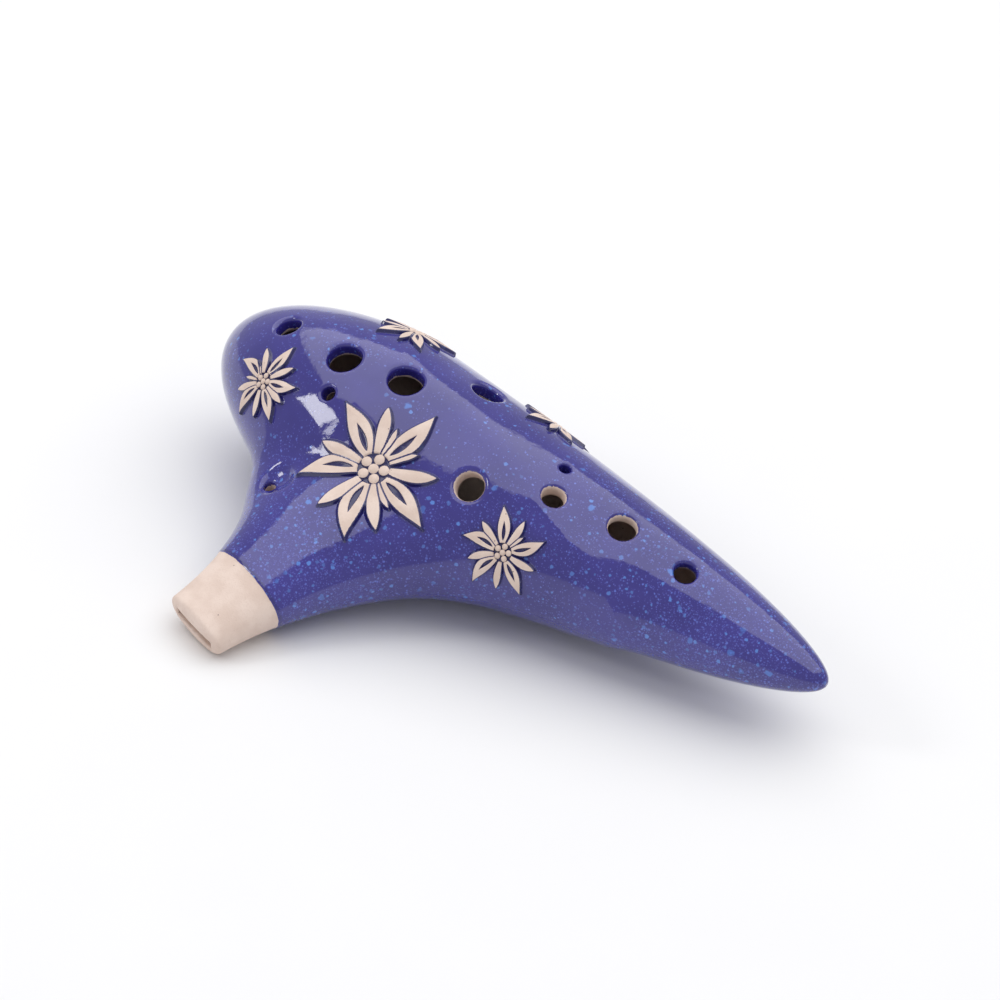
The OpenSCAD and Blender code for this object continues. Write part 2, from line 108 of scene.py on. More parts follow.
def form(x, y):
    """The outer half depth squared over the plan; negative outside it."""
    body = DEPTH_RATIO ** 2 * (width_squared(x) - (y - line_y(x)) ** 2)
    d, v = stem_d(x, y), stem_v(x, y)
    share = np.clip((STEM_LENGTH - d) / STEM_LENGTH, 0, 1)
    width = np.where(v > 0, TIP_W + (ROOT_RIGHT - TIP_W) * share ** RIGHT_POWER,
                     TIP_W + (ROOT_LEFT - TIP_W) * share ** LEFT_POWER)
    depth = TIP_H + (ROOT_H - TIP_H) * share ** DEPTH_POWER
    tip = np.maximum(d - STEM_LENGTH + TIP_ROUND, 0) / TIP_ROUND
    root = np.maximum(-d, 0) / ROOT_FADE
    stem = depth ** 2 * (1 - np.abs(v / width) ** SECTION_POWER - tip ** TIP_POWER - root ** 2)
    web = WEB_H ** 2 * (1 - ((x - WEB_X) ** 2 + (y - WEB_Y) ** 2) / WEB_R ** 2)
    return soft_max(soft_max(body, stem), web)


def height(x, y):
    return np.sqrt(np.maximum(form(x, y), 0))


def normal_at(x, y):
    e = DIFF_STEP
    n = np.stack([height(x - e, y) - height(x + e, y), height(x, y - e) - height(x, y + e),
                  np.full(np.shape(x), 2 * e)], -1)
    return n / np.linalg.norm(n, axis=-1, keepdims=True)


def smooth_min(a, b, k):
    h = np.clip(0.5 + 0.5 * (b - a) / k, 0, 1)
    return b + (a - b) * h - k * h * (1 - h)


def fade(lo, hi, t):
    u = np.clip((t - lo) / (hi - lo), 0, 1)
    return u * u * (3 - 2 * u)


# ---------------------------------------------------------------- holes
# x, y, radius, side (1 for the fingers, -1 for the thumbs), glazed depth of its wall
HOLES = [
    (18.2, 0.9, 3.0, 1, 3.0), (38.0, -1.9, 4.1, 1, 3.2), (54.3, 1.1, 4.2, 1, 3.0),
    (69.3, 13.4, 3.8, 1, 3.2), (84.0, -12.8, 3.5, 1, 0.35), (101.5, -3.4, 2.8, 1, 0.3),
    (118.2, 0.8, 3.4, 1, 0.35), (136.2, 0.7, 2.6, 1, 2.2), (41.0, -11.7, 1.7, 1, 3.4),
    (98.1, 5.4, 1.4, 1, 3.4), (34.0, 4.0, 4.1, -1, 2.6), (106.0, 2.0, 3.5, -1, 2.4),
]
RIM, SMALL_RIM, SMALL_HOLE, BORE_DEPTH = 1.5, 0.9, 2, 9
CORD = (40.6, -33.4, 1.4)


def hole_axis(x, y, side):
    n = normal_at(np.array(x), np.array(y)) * np.array([1, 1, side])
    return np.array([x, y, side * float(height(np.array(x), np.array(y)))]), n


AXES = [hole_axis(x, y, side) for x, y, _, side, _ in HOLES]


def near(p, c, r):
    x, y, z = np.abs(p - c).T
    return np.nonzero((x < r) & (y < r) & (z < r))[0]


def outer_field(x, y, z):
    """Roughly the depth below the outer surface, in mm."""
    e = DIFF_STEP
    f = form(x, y)
    gx = (form(x + e, y) - f) / e
    gy = (form(x, y + e) - f) / e
    return (f - z * z) / np.maximum(np.sqrt(gx * gx + gy * gy + 4 * z * z), 2.0)


def chamber_field(x, y, z):
    """Roughly the distance inside the chamber, in mm."""
    scale = np.where(x < WIDEST, WIDEST / (WIDEST - WALL), TAIL_RUN / (TAIL_RUN - CHAMBER_STOP))
    w = half_width(WIDEST + (x - WIDEST) * scale) * (HALF_WIDTH - WALL) / HALF_WIDTH
    r = np.sqrt((y - line_y(x)) ** 2 + (z / DEPTH_RATIO) ** 2)
    return (w - r) * 0.94


def box_field(q, lo, hi):
    d = np.minimum(q - np.array(lo), np.array(hi) - q)
    return d.min(axis=1)


def stem_frame(p):
    return np.stack([stem_d(p[:, 0], p[:, 1]), stem_v(p[:, 0], p[:, 1]), p[:, 2]], 1)


def windway_frame(p):
    q = stem_frame(p) - np.array([STEM_LENGTH, 0, 0])
    c, s = math.cos(WINDWAY_SLOPE), math.sin(WINDWAY_SLOPE)
    return np.stack([q[:, 0] * c + q[:, 2] * s, q[:, 1], -q[:, 0] * s + q[:, 2] * c], 1)


EXIT_Z = -(STEM_LENGTH - WINDWAY_END) * math.tan(WINDWAY_SLOPE)
EDGE_D = WINDWAY_END - WINDOW_GAP
EDGE_Z = EXIT_Z - 0.1
WINDWAY_RUN = (STEM_LENGTH - WINDWAY_END) / math.cos(WINDWAY_SLOPE)


def carve(p, phi):
    """Takes every opening out of the solid field phi at the points p."""
    for (_, _, r, _, _), (c, n) in zip(HOLES, AXES):
        k = near(p, c, 13)
        q = p[k] - c
        along = q @ n
        radial = np.sqrt(np.maximum((q * q).sum(1) - along * along, 0))
        bore = np.minimum(r - radial, along + BORE_DEPTH)
        phi[k] = smooth_min(phi[k], -bore, RIM if r > SMALL_HOLE else SMALL_RIM)
    # the cord hole through the corner web, with a scooped dimple above it
    k = np.nonzero(np.hypot(p[:, 0] - CORD[0], p[:, 1] - CORD[1]) < 9)[0]
    q = p[k]
    bore = CORD[2] - np.hypot(q[:, 0] - CORD[0], q[:, 1] - CORD[1])
    phi[k] = smooth_min(phi[k], -bore, 0.8)
    top = float(height(np.array(CORD[0]), np.array(CORD[1])))
    for dx, dy, dz, r in ((-1.5, -0.2, 3.9, 5.4), (0.2, 1.2, 4.4, 5.2)):
        scoop = r - np.sqrt((q[:, 0] - CORD[0] - dx) ** 2 + (q[:, 1] - CORD[1] - dy) ** 2
                            + (q[:, 2] - top - dz) ** 2)
        phi[k] = smooth_min(phi[k], -scoop, 1.0)
    # the windway's seat, the slot in the mouthpiece, the window, the throat and the labium's seat
    k = np.nonzero(stem_d(p[:, 0], p[:, 1]) > 2)[0]
    q = p[k]
    w, s = windway_frame(q), stem_frame(q)
    seat = box_field(w, (-WINDWAY_RUN, -6.5, -3.0), (-MOUTH_LENGTH + 4, 6.5, 3.0))
    seat = np.minimum(seat, JOINT_D - s[:, 0])
    along = np.clip(-w[:, 0] / MOUTH_LENGTH, 0, 1)
    slot = np.minimum(6.75 - 1.75 * along - np.abs(w[:, 1]), 1.05 - 0.1 * along - np.abs(w[:, 2]))
    slot = np.minimum(slot, w[:, 0] + MOUTH_LENGTH + 1)
    ramp = (s[:, 2] - EDGE_Z) - (s[:, 0] - EDGE_D) * RAMP
    window = np.minimum.reduce([WINDWAY_W / 2 - np.abs(s[:, 1]), WINDWAY_END - s[:, 0],
                                EXIT_Z + 1 - s[:, 2], -ramp / math.hypot(1, RAMP)])
    throat = box_field(s, (4, -WINDWAY_W / 2, EDGE_Z), (WINDWAY_END, WINDWAY_W / 2, EDGE_Z + 3.6))
    labium = box_field(s, (EDGE_D - 9, -WINDWAY_W / 2, EDGE_Z - 4.5), (EDGE_D, WINDWAY_W / 2, EDGE_Z))
    phi_k = phi[k]
    phi_k = smooth_min(phi_k, -slot, 0.7)
    for cut in (seat, window, throat, labium):
        phi_k = smooth_min(phi_k, -cut, 0.25)
    phi[k] = phi_k
    return phi


def solid(p):
    """Positive inside the clay of the shells and the mouthpiece, in mm."""
    x, y, z = p[:, 0], p[:, 1], p[:, 2]
    d = stem_d(x, y)
    glaze = GLAZE * fade(JOINT_D + 0.25, JOINT_D - 0.35, d)
    phi = outer_field(x, y, z) + glaze
    # the flat end face of the mouthpiece, with its rounded edge
    phi = smooth_min(phi, STEM_LENGTH - 0.15 - d, 1.6)
    phi = smooth_min(phi, -chamber_field(x, y, z), 0.5)
    return carve(p, phi)


def gradient(p):
    e = FIELD_STEP
    g = np.empty_like(p)
    for i in range(3):
        step = np.zeros(3)
        step[i] = e
        g[:, i] = (solid(p + step) - solid(p - step)) / (2 * e)
    return g


def solid_mesh(cell):
    """Vertices (mm), faces and outward normals of the clay, from the field on a grid of that cell size."""
    lo, hi = np.array([-2.0, -79.5, -24.5]), np.array([177.5, 28.5, 24.5])
    n = np.ceil((hi - lo) / cell).astype(int) + 1
    axes = [lo[i] + cell * np.arange(n[i]) for i in range(3)]
    field = np.empty(tuple(n), np.float32)
    for i in range(0, n[0], 40):
        gx, gy, gz = np.meshgrid(axes[0][i:i + 40], axes[1], axes[2], indexing="ij")
        p = np.stack([gx.ravel(), gy.ravel(), gz.ravel()], 1)
        field[i:i + 40] = solid(p).reshape(gx.shape)
    field = np.clip(field, -3 * cell, 3 * cell)
    grid = openvdb.FloatGrid(background=3 * cell)
    grid.copyFromArray(-field)
    points, quads = grid.convertToQuads(isovalue=0.0)
    p = points.astype(float) * cell + lo
    for _ in range(3):
        g = gradient(p)
        f = solid(p)
        step = f / np.maximum((g * g).sum(1), 0.25)
        p -= np.clip(step, -0.3, 0.3)[:, None] * g
    g = gradient(p)
    normals = -g / np.maximum(np.linalg.norm(g, axis=1, keepdims=True), 1e-9)
    quads = quads.astype(np.int64)
    a, b, c = p[quads[:, 0]], p[quads[:, 1]], p[quads[:, 2]]
    facing = (np.cross(b - a, c - a) * normals[quads[:, 0]]).sum(1)
    if (facing > 0).mean() < 0.5:
        quads = quads[:, ::-1]
    return p, quads, normals


def clay_mask(p):
    """0 where the surface is glazed, 1 where the clay is bare."""
    depth = outer_field(p[:, 0], p[:, 1], p[:, 2])
    limit = np.full(len(p), 2.4)
    for (_, _, r, _, glazed), (c, n) in zip(HOLES, AXES):
        k = near(p, c, r + 9)
        q = p[k] - c
        along = q @ n
        radial = np.sqrt(np.maximum((q * q).sum(1) - along * along, 0))
        k = k[radial < r + 1.6]
        limit[k] = glazed
    return fade(-0.12, 0.12, depth - limit)


def build_piece(name, p, faces, normals, attributes, material):
    used = np.unique(faces)
    back = np.full(len(p), -1)
    back[used] = np.arange(len(used))
    me = bpy.data.meshes.new(name)
    q = to_row(p[used])
    f = back[faces]
    me.vertices.add(len(q))
    me.vertices.foreach_set("co", q.astype(np.float32).ravel())
    me.loops.add(f.size)
    me.loops.foreach_set("vertex_index", f.astype(np.int32).ravel())
    me.polygons.add(len(f))
    me.polygons.foreach_set("loop_start", np.arange(0, f.size, f.shape[1], dtype=np.int32))
    me.update(calc_edges=True)
    me.validate()
    me.shade_smooth()
    for key, values in attributes.items():
        a = me.attributes.new(key, "FLOAT", "POINT")
        a.data.foreach_set("value", values[used].astype(np.float32))
    if normals is not None:
        m = normals[used] @ ROT.T
        me.normals_split_custom_set_from_vertices([tuple(v) for v in m])
    ob = bpy.data.objects.new(name, me)
    bpy.context.scene.collection.objects.link(ob)
    ob.data.materials.append(material)
    return ob


# ---------------------------------------------------------------- flowers
LARGE_R, SMALL_R = 19.0, 10.4
# x, y, radius, then the turns in degrees of its long, short and small petals
FLOWERS = {
    "middle": (62.5, -21.0, LARGE_R, [147, 76, -18, -74, -147], [113, 22, -52, -110, 180], [95, 48, -35]),
    "fat_end": (23.8, -14.3, SMALL_R, [83, 16, -44, -113, 171], [127, 47, -14, -78, -146], [65, -168, 147]),
    "tail": (98.9, -19.0, SMALL_R, [117, 40, -44, -113, -175], [80, -2, -79, -145, 152], [60]),
    "far_left": (43.5, 18.0, SMALL_R, [-122, -50, 22, 94, 166], [-158, -86, -14, 58, 130], [-68, 40]),
    "far_right": (85.0, 19.5, SMALL_R, [-112, -40, 32, 104, 176], [-148, -76, -4, 68, 140], [-58, 50]),
}


def flower_frame(x, y):
    n = normal_at(np.array(x), np.array(y))
    u = np.array([1.0, 0, 0]) - n[0] * n
    u /= np.linalg.norm(u)
    return np.array([x, y, float(height(np.array(x), np.array(y)))]), n, u, np.cross(n, u)


# each kind of petal: where it starts and ends and its half width, as shares of the flower's radius, then
# where it is widest, how sharply it closes, and how wide it is at its root
LONG_PETAL = (0.17, 1.0, 0.148, 0.43, 1.15, 0.32)
SHORT_PETAL = (0.18, 0.82, 0.088, 0.56, 0.72, 0.5)
SMALL_PETAL = (0.18, 0.58, 0.046, 0.6, 0.7, 0.6)
LONG_BENDS = (0.14, 0.23, -0.13, 0.35, 0.40)
# the slot down a long petal: where it starts and ends along it, and its width as a share of the petal's
SLOT_START, SLOT_END, SLOT_WIDTH = 0.10, 0.60, 0.27
# the relief's lift in mm: a petal, its crown, a slot, the hollow under the florets, and a floret
PETAL_LIFT, CROWN_LIFT, SLOT_DROP, CORE_LIFT, FLORET_LIFT = 1.05, 0.12, 0.5, 0.45, 1.3
# one floret in the middle and five round it: their ring and radius as shares of the flower's radius
FLORETS, FLORET_RING, FLORET_R = 6, 0.137, 0.072
RELIEF_SHARE, RELIEF_SINK = 0.95, 0.06


def by_size(r, large, small):
    return large if r == LARGE_R else small


def petal(u, v, angle, r, shape, bend):
    """Signed distance into a petal, and into the lens down its middle, in mm."""
    start, end, width, widest, close, root = shape
    a = math.radians(angle)
    along = u * math.cos(a) + v * math.sin(a)
    t = (along / r - start) / (end - start)
    tc = np.clip(t, 0.0, 1.0)
    across = -u * math.sin(a) + v * math.cos(a) - bend * r * (tc * tc - tc)
    rise = root + (1 - root) * np.sin(0.5 * math.pi * np.minimum(tc / widest, 1)) ** 0.9
    fall = np.cos(0.5 * math.pi * np.clip((tc - widest) / (1 - widest), 0, 1)) ** close
    half = width * r * rise * fall
    ends = np.maximum(np.maximum(-t, t - 1), 0) * (end - start) * r
    dist = np.where(ends > 0, -np.hypot(ends, np.maximum(np.abs(across) - half, 0)),
                    (half - np.abs(across)) * 0.93)
    ti = np.clip((t - SLOT_START) / (SLOT_END - SLOT_START), 0, 1)
    lens = SLOT_WIDTH * width * r * np.sin(math.pi * ti ** 0.8) - np.abs(across)
    lens = np.where((t < SLOT_START) | (t > SLOT_END), -1.0, lens)
    return dist, lens


def flower_relief(u, v, r, long_turns, short_turns, small_turns, rng):
    """Height of the relief, whether the clay is bare, and where the glaze pools."""
    shoulder = by_size(r, 0.75, 0.5)
    edge = by_size(r, 0.11, 0.07)
    best = np.full(u.shape, -9.0)
    second = np.full(u.shape, -9.0)
    slot = np.full(u.shape, -1.0)
    for turns, shape in ((long_turns, LONG_PETAL), (short_turns, SHORT_PETAL), (small_turns, SMALL_PETAL)):
        for i, a in enumerate(turns):
            bend = LONG_BENDS[i] if shape is LONG_PETAL else rng.uniform(-0.06, 0.12)
            d, lens = petal(u, v, a, r, shape, bend)
            if shape is LONG_PETAL:
                slot = np.where((d > best) & (d > 0), lens, slot)
            second = np.maximum(second, np.minimum(best, d))
            best = np.maximum(best, d)
    # a groove runs where two petals meet
    best = np.minimum(best, (best - second) * 0.5) - by_size(r, 0.13, 0.075)
    rise = fade(-shoulder, edge * 0.3, best)
    lift = PETAL_LIFT * rise + CROWN_LIFT * fade(0, 1.2, best)
    cut = fade(-0.10, 0.22, slot)
    lift -= SLOT_DROP * cut
    clay = fade(edge * 0.3, edge * 1.1, best) * (1 - fade(-0.06, 0.04, slot))
    ring = np.hypot(u, v)
    core = fade(0.225 * r, 0.19 * r, ring)
    lift = np.where(core > 0, lift * (1 - core) + CORE_LIFT * core, lift)
    clay *= 1 - core
    floret_r = FLORET_R * r
    for k in range(FLORETS):
        out = 0 if k == 0 else FLORET_RING * r
        a = math.radians(72 * k + 20)
        q = np.hypot(u - out * math.cos(a), v - out * math.sin(a))
        dome = FLORET_LIFT * np.sqrt(np.maximum(1 - (q / (floret_r * 1.12)) ** 2, 0)) ** 0.7
        lift = np.maximum(lift, dome)
        clay = np.maximum(clay, fade(floret_r * 0.98, floret_r * 0.86, q))
    pool = fade(-shoulder * 1.2, -shoulder * 0.4, best) * (1 - clay) + core + cut
    return lift, clay, np.clip(pool, 0, 1)


def flower_mesh(x, y, r, long_turns, short_turns, small_turns, cell, rng):
    c, n, du, dv = flower_frame(x, y)
    span = r * 1.06 + 0.6
    k = int(math.ceil(span / cell))
    t = np.arange(-k, k + 1) * cell
    u, v = np.meshgrid(t, t, indexing="ij")
    lift, clay, pool = flower_relief(u, v, r, long_turns, short_turns, small_turns, rng)
    start = c + u.ravel()[:, None] * du + v.ravel()[:, None] * dv
    lo, hi = np.full(u.size, -4.0), np.full(u.size, 16.0)
    for _ in range(16):
        mid = (lo + hi) / 2
        q = start - mid[:, None] * n
        out = form(q[:, 0], q[:, 1]) < q[:, 2] ** 2
        lo, hi = np.where(out, mid, lo), np.where(out, hi, mid)
    q = start - ((lo + hi) / 2)[:, None] * n
    m = normal_at(q[:, 0], q[:, 1])
    m[:, 2] = np.where(q[:, 2] < 0, -m[:, 2], m[:, 2])
    p = q + m * (lift.ravel() * RELIEF_SHARE - RELIEF_SINK + GLAZE)[:, None]
    size = 2 * k + 1
    i, j = np.meshgrid(np.arange(size - 1), np.arange(size - 1), indexing="ij")
    a = (i * size + j).ravel()
    quads = np.stack([a, a + size, a + size + 1, a + 1], 1)
    keep = (lift.ravel()[quads] > 0.004).any(1)
    return p, quads[keep], clay.ravel(), pool.ravel()


# ---------------------------------------------------------------- materials
class Net:
    """Short calls for a shader graph."""

    def __init__(self, tree):
        self.t = tree

    def add(self, kind, **props):
        n = self.t.nodes.new(kind)
        for k, v in props.items():
            setattr(n, k, v)
        return n

    def link(self, a, b):
        self.t.links.new(a, b)

    def put(self, socket, value):
        if isinstance(value, (int, float, tuple, list)):
            socket.default_value = value
        else:
            self.link(value, socket)

    def noise(self, where, scale, detail=2.0, rough=0.5):
        n = self.add("ShaderNodeTexNoise")
        self.link(where, n.inputs["Vector"])
        n.inputs["Scale"].default_value = scale
        n.inputs["Detail"].default_value = detail
        n.inputs["Roughness"].default_value = rough
        return n.outputs["Fac"]

    def voronoi(self, where, scale):
        n = self.add("ShaderNodeTexVoronoi")
        self.link(where, n.inputs["Vector"])
        n.inputs["Scale"].default_value = scale
        return n.outputs["Distance"], n.outputs["Color"]

    def math(self, op, a, b=0.0):
        n = self.add("ShaderNodeMath", operation=op)
        for s, v in zip(n.inputs, (a, b)):
            self.put(s, v)
        return n.outputs[0]

    def span(self, value, lo, hi, to_lo=0.0, to_hi=1.0, smooth=True):
        n = self.add("ShaderNodeMapRange")
        if smooth:
            n.interpolation_type = "SMOOTHSTEP"
        self.put(n.inputs["Value"], value)
        for key, v in (("From Min", lo), ("From Max", hi), ("To Min", to_lo), ("To Max", to_hi)):
            self.put(n.inputs[key], v)
        return n.outputs[0]

    def mix(self, fac, a, b):
        n = self.add("ShaderNodeMix", data_type="RGBA")
        self.put(n.inputs[0], fac)
        self.put(n.inputs[6], a)
        self.put(n.inputs[7], b)
        return n.outputs[2]

    def mix_value(self, fac, a, b):
        n = self.add("ShaderNodeMix", data_type="FLOAT")
        self.put(n.inputs[0], fac)
        self.put(n.inputs[2], a)
        self.put(n.inputs[3], b)
        return n.outputs[0]

    def attribute(self, name):
        n = self.add("ShaderNodeAttribute", attribute_name=name)
        return n.outputs["Fac"]

    def along(self, where, direction):
        n = self.add("ShaderNodeVectorMath", operation="DOT_PRODUCT")
        self.link(where, n.inputs[0])
        n.inputs[1].default_value = direction
        return n.outputs["Value"]

    def bump(self, height, distance, strength, under=None):
        n = self.add("ShaderNodeBump")
        n.inputs["Distance"].default_value = distance
        n.inputs["Strength"].default_value = strength
        self.link(height, n.inputs["Height"])
        if under is not None:
            self.link(under, n.inputs["Normal"])
        return n.outputs[0]


def new_material(name):
    """A material with an empty graph, ending in a principled shader, and the object coordinates."""
    m = bpy.data.materials.new(name)
    m.use_nodes = True
    m.node_tree.nodes.clear()
    net = Net(m.node_tree)
    shader = net.add("ShaderNodeBsdfPrincipled")
    net.link(shader.outputs[0], net.add("ShaderNodeOutputMaterial").inputs[0])
    return m, net, net.add("ShaderNodeTexCoord").outputs["Object"], shader


def rgb(r, g, b):
    """An sRGB colour, 0 to 255, as linear values with alpha."""
    out = []
    for c in (r, g, b):
        c /= 255.0
        out.append(c / 12.92 if c <= 0.04045 else ((c + 0.055) / 1.055) ** 2.4)
    return (*out, 1.0)


CLAY_PALE, CLAY_LIGHT = rgb(219, 197, 184), rgb(231, 211, 199)
# the last colour on the next line is painted shade, for the clay inside the chamber and deep in the holes
CLAY_GRAIN, CLAY_FLECK, CLAY_PAINTED_SHADE = rgb(205, 178, 160), rgb(120, 96, 92), rgb(58, 50, 48)
GLAZE_DARK, GLAZE_LIGHT, GLAZE_POOL = rgb(46, 40, 124), rgb(56, 50, 138), rgb(17, 13, 66)
# the glaze's crystals, finest first: texture scale, size in their cell, colour, share of the cells
CRYSTALS = (
    (2300, 0.45, rgb(86, 90, 182), 0.85),
    (1250, 0.38, rgb(92, 108, 200), 0.62),
    (640, 0.34, rgb(88, 132, 214), 0.46),
    (340, 0.30, rgb(78, 126, 212), 0.26),
)
CLAY_ROUGHNESS, CLAY_BUMP = 0.62, (0.00012, 0.6)
FLAT_X = tuple(ROT @ np.array([1.0, 0, 0]))
FLAT_Y = tuple(ROT @ np.array([0, 1.0, 0]))
STEM_DIR = ROT @ np.array([-S_SIN, -S_COS, 0])
JOINT_POINT = to_row([STEM_AT - S_SIN * JOINT_D, -S_COS * JOINT_D, 0])


def paint_chamber_shade(net, colour):
    """Paints shade: darkens the clay where the attribute says it lies inside the chamber."""
    return net.mix(net.math("MULTIPLY", net.attribute("chamber_shade"), 0.86), colour, CLAY_PAINTED_SHADE)


def clay_colour(net, where):
    grain = net.noise(where, 2600, 3, 0.6)
    cloud = net.noise(where, 160, 3, 0.5)
    base = net.mix(net.span(cloud, 0.35, 0.65), CLAY_PALE, CLAY_LIGHT)
    base = net.mix(net.span(grain, 0.5, 0.78, 0, 0.35), base, CLAY_GRAIN)
    dist, _ = net.voronoi(where, 420)
    fleck = net.math("MULTIPLY", net.span(dist, 0.085, 0.05),
                     net.span(net.noise(where, 300, 0), 0.56, 0.62))
    return net.mix(net.math("MULTIPLY", fleck, 0.8), base, CLAY_FLECK), grain


def glaze_colour(net, where, pool):
    x, y = net.along(where, FLAT_X), net.along(where, FLAT_Y)
    cloud = net.noise(where, 55, 3, 0.55)
    base = net.mix(net.span(cloud, 0.3, 0.7), GLAZE_DARK, GLAZE_LIGHT)
    # lighter crystals: denser towards the tail and low on the player's side
    dense = net.math("ADD", net.span(x, -0.05, 0.05, 0.25, 0.85), net.span(y, 0.012, -0.016, 0.0, 0.6))
    dense = net.math("ADD", dense, net.span(net.noise(where, 34, 2), 0.35, 0.7, -0.25, 0.35))
    for scale, size, colour, share in CRYSTALS:
        warp = net.add("ShaderNodeVectorMath", operation="ADD")
        wobble = net.add("ShaderNodeTexNoise")
        net.link(where, wobble.inputs["Vector"])
        wobble.inputs["Scale"].default_value = scale * 2.2
        small = net.add("ShaderNodeVectorMath", operation="SCALE")
        net.link(wobble.outputs["Color"], small.inputs[0])
        small.inputs["Scale"].default_value = 0.45 / scale
        net.link(where, warp.inputs[0])
        net.link(small.outputs[0], warp.inputs[1])
        dist, tint = net.voronoi(warp.outputs[0], scale)
        pick = net.add("ShaderNodeSeparateColor")
        net.link(tint, pick.inputs[0])
        limit = net.math("MULTIPLY", dense, share)
        chosen = net.span(net.math("SUBTRACT", limit, pick.outputs[0]), -0.02, 0.03)
        radius = net.math("MULTIPLY", net.span(pick.outputs[1], 0, 1, 0.35, 1.0, smooth=False), size)
        spot = net.span(net.math("SUBTRACT", radius, dist), -0.08, 0.06)
        strength = net.math("MULTIPLY", net.math("MULTIPLY", spot, chosen),
                            net.span(pick.outputs[2], 0, 1, 0.35, 0.95, smooth=False))
        base = net.mix(strength, base, colour)
    return net.mix(net.math("MULTIPLY", pool, 0.8), base, GLAZE_POOL)


def ware_material(name, sprig):
    """Blue glaze over beige clay, bare where the clay attribute says so.

    The shells and the mouthpiece are also bare past the plane across the stem. The sprigs have no such
    plane, and they read where the glaze pools from an attribute.
    """
    m, net, where, shader = new_material(name)
    clay = net.span(net.attribute("clay"), 0.42, 0.58)
    if sprig:
        pool = net.attribute("pool")
    else:
        off = net.add("ShaderNodeVectorMath", operation="SUBTRACT")
        net.link(where, off.inputs[0])
        off.inputs[1].default_value = tuple(JOINT_POINT)
        past = net.along(off.outputs[0], tuple(STEM_DIR))
        waver = net.span(net.noise(where, 420, 2), 0, 1, -0.00022, 0.00022, smooth=False)
        past = net.math("ADD", past, waver)
        clay = net.math("MAXIMUM", clay, net.span(past, -0.00004, 0.00004))
        pool = net.span(net.math("ABSOLUTE", net.math("ADD", past, 0.0005)), 0.0006, 0.0, 0.0, 0.55)
    clay_col, grain = clay_colour(net, where)
    if not sprig:
        # painted shade: the clay inside the chamber is darkened
        clay_col = paint_chamber_shade(net, clay_col)
    glaze_col = glaze_colour(net, where, pool)
    net.link(net.mix(clay, glaze_col, clay_col), shader.inputs["Base Color"])
    fine = net.noise(where, 900, 2)
    glaze_rough = net.span(fine, 0.3, 0.7, 0.05, 0.09)
    net.link(net.mix_value(clay, glaze_rough, CLAY_ROUGHNESS), shader.inputs["Roughness"])
    shader.inputs["IOR"].default_value = 1.5
    net.link(net.mix_value(clay, 0.6, 0.0), shader.inputs["Coat Weight"])
    shader.inputs["Coat Roughness"].default_value = 0.03
    swell = net.math("ADD", net.noise(where, 95, 2), net.math("MULTIPLY", net.noise(where, 420, 2), 0.16))
    wave = net.bump(net.mix_value(clay, swell, 0.0), 0.0006, 0.5)
    net.link(net.bump(net.math("MULTIPLY", grain, clay), *CLAY_BUMP, wave), shader.inputs["Normal"])
    return m


def clay_material():
    m, net, where, shader = new_material("bare_clay")
    colour, grain = clay_colour(net, where)
    net.link(colour, shader.inputs["Base Color"])
    shader.inputs["Roughness"].default_value = CLAY_ROUGHNESS
    net.link(net.bump(grain, *CLAY_BUMP), shader.inputs["Normal"])
    return m


WARE = ware_material("speckled_glaze_and_clay", sprig=False)
SPRIG = ware_material("sprig_glaze_and_clay", sprig=True)
CLAY = clay_material()

# ---------------------------------------------------------------- pieces
CELL = 0.5
points, quads, normals = solid_mesh(CELL)
mask = clay_mask(points)
# painted shade: 0 near the outer surface, 1 for clay over 5.6 mm under it (inside the chamber, deep in the
# holes), none in the mouthpiece
chamber_shade = fade(4.0, 5.6, outer_field(points[:, 0], points[:, 1], points[:, 2]))
chamber_shade *= fade(-MOUTH_LENGTH - 2, -MOUTH_LENGTH - 8, windway_frame(points)[:, 0])
middle = points[quads].mean(axis=1)
in_mouth = stem_d(middle[:, 0], middle[:, 1]) > JOINT_D
upper = ~in_mouth & (middle[:, 2] > 0)
lower = ~in_mouth & (middle[:, 2] <= 0)
for name, chosen in (("upper_shell", upper), ("lower_shell", lower), ("mouthpiece", in_mouth)):
    piece = build_piece(name + "_fired", points, quads[chosen], normals, {"clay": mask, "chamber_shade": chamber_shade}, WARE)
    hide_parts(name)
    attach(piece, "root")

rng = np.random.default_rng(7)
for name, (x, y, r, long_turns, short_turns, small_turns) in FLOWERS.items():
    cell = by_size(r, 0.14, 0.09) * 1
    p, f, clay, pool = flower_mesh(x, y, r, long_turns, short_turns, small_turns, cell, rng)
    piece = build_piece(name + "_flower_sprig", p, f, None, {"clay": clay, "pool": pool}, SPRIG)
    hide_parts(*[name + "_flower_" + part for part in ("long_bracts", "short_bracts", "florets")])
    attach(piece, "root")

for node in ("windway_roof", "windway_floor", "labium"):
    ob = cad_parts[node]
    ob.data.materials.clear()
    ob.data.materials.append(CLAY)

# ---------------------------------------------------------------- table, light and camera
TABLE_HALF, TABLE_Z, TABLE_STEPS = 4, -0.0002, 8


def table_top():
    row = TABLE_STEPS + 1
    ticks = np.linspace(-TABLE_HALF, TABLE_HALF, row)
    verts = [(float(a), float(b), TABLE_Z) for b in ticks for a in ticks]
    corners = [j * row + i for j in range(TABLE_STEPS) for i in range(TABLE_STEPS)]
    me = bpy.data.meshes.new("table")
    me.from_pydata(verts, [], [(k, k + 1, k + 1 + row, k + row) for k in corners])
    ob = bpy.data.objects.new("table", me)
    bpy.context.scene.collection.objects.link(ob)
    return ob


def paper_material():
    m, net, where, shader = new_material("white_paper")
    colour = net.mix(net.noise(where, 30, 2), (0.86, 0.86, 0.87, 1), (0.88, 0.88, 0.88, 1))
    net.link(colour, shader.inputs["Base Color"])
    shader.inputs["Roughness"].default_value = 0.7
    return m


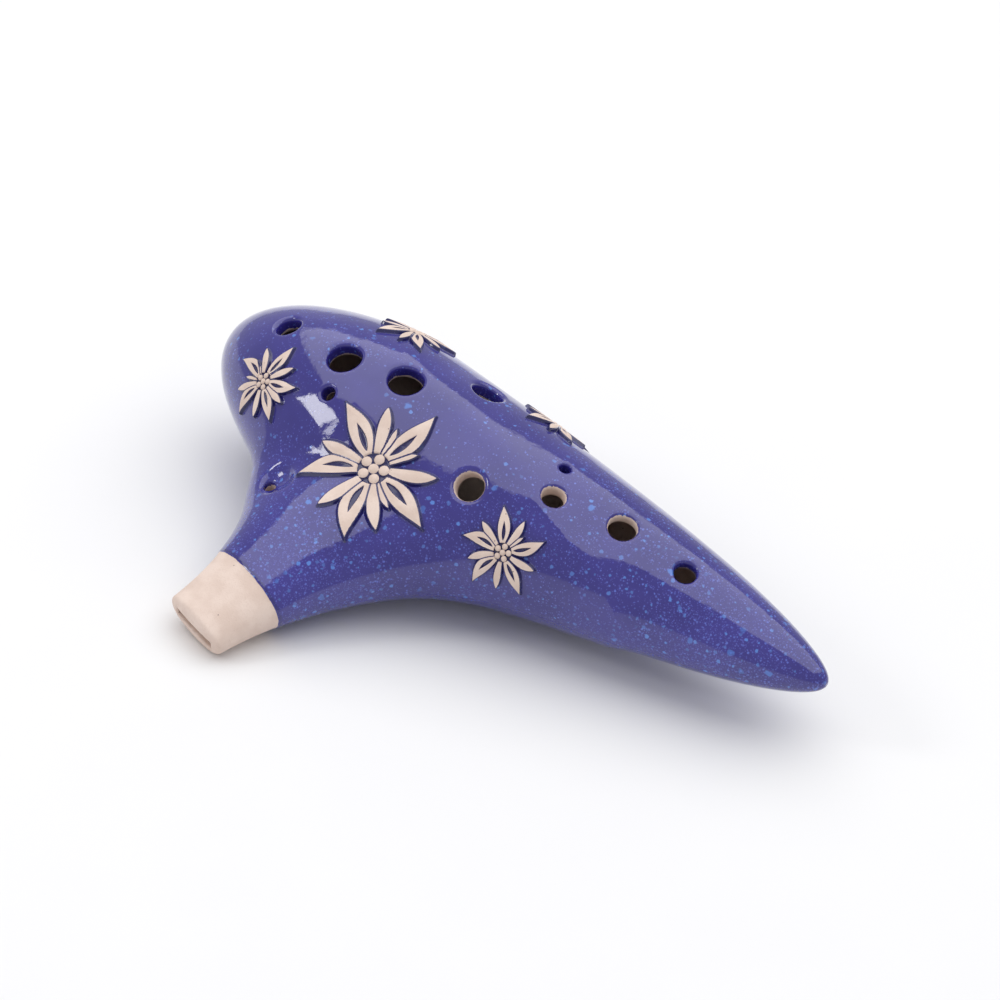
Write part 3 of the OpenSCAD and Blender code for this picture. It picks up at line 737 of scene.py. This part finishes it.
table = table_top()
table.data.materials.append(paper_material())

world = bpy.data.worlds.new("studio")
bpy.context.scene.world = world
world.use_nodes = True
world.node_tree.nodes["Background"].inputs[0].default_value = (0.98, 0.98, 1.0, 1)
world.node_tree.nodes["Background"].inputs[1].default_value = 0.55


def softbox(name, where, size, power):
    """A rectangular light that faces the ocarina."""
    light = bpy.data.lights.new(name, "AREA")
    light.shape = "RECTANGLE"
    light.size, light.size_y = size
    light.energy = power
    ob = bpy.data.objects.new(name, light)
    bpy.context.scene.collection.objects.link(ob)
    ob.location = where
    ob.rotation_euler = (Vector(LIT_POINT) - Vector(where)).to_track_quat("-Z", "Y").to_euler()


LIT_POINT = (0.0, 0.0, 0.02)
softbox("overhead", (-0.1, 0.4, 1.35), (2.8, 2.0), 22)
softbox("front_left", (-0.85, -0.75, 0.8), (0.3, 0.3), 2.2)

# the camera of the photograph, found in the ocarina's own frame
AZ, EL, TWIST = math.radians(37.568), math.radians(49.904), math.radians(0.276)
PX_PER_MM, DISTANCE, AIM = 4.265, 900.0, np.array([80.0, -15.0, 0.0])
PHOTO_PX, CENTRE_PX, SENSOR_MM = 1000.0, (450.1, 533.06), 36.0
right = np.array([math.cos(AZ), math.sin(AZ), 0])
up = np.array([-math.sin(AZ) * math.sin(EL), math.cos(AZ) * math.sin(EL), math.cos(EL)])
back = np.array([math.sin(AZ) * math.cos(EL), -math.cos(AZ) * math.cos(EL), math.sin(EL)])
right, up = (math.cos(TWIST) * right + math.sin(TWIST) * up,
             -math.sin(TWIST) * right + math.cos(TWIST) * up)
aim = (AIM + right * (PHOTO_PX / 2 - CENTRE_PX[0]) / PX_PER_MM
       + up * (CENTRE_PX[1] - PHOTO_PX / 2) / PX_PER_MM)
cam_data = bpy.data.cameras.new("camera")
cam_data.sensor_width = SENSOR_MM
cam_data.lens = SENSOR_MM * PX_PER_MM * DISTANCE / PHOTO_PX
cam = bpy.data.objects.new("camera", cam_data)
bpy.context.scene.collection.objects.link(cam)
r3, u3, b3 = ROT @ right, ROT @ up, ROT @ back
place = to_row(aim + back * DISTANCE)
cam.matrix_world = Matrix(((r3[0], u3[0], b3[0], place[0]), (r3[1], u3[1], b3[1], place[1]),
                           (r3[2], u3[2], b3[2], place[2]), (0, 0, 0, 1)))
bpy.context.scene.camera = cam
bpy.context.scene.view_settings.view_transform = "Standard"
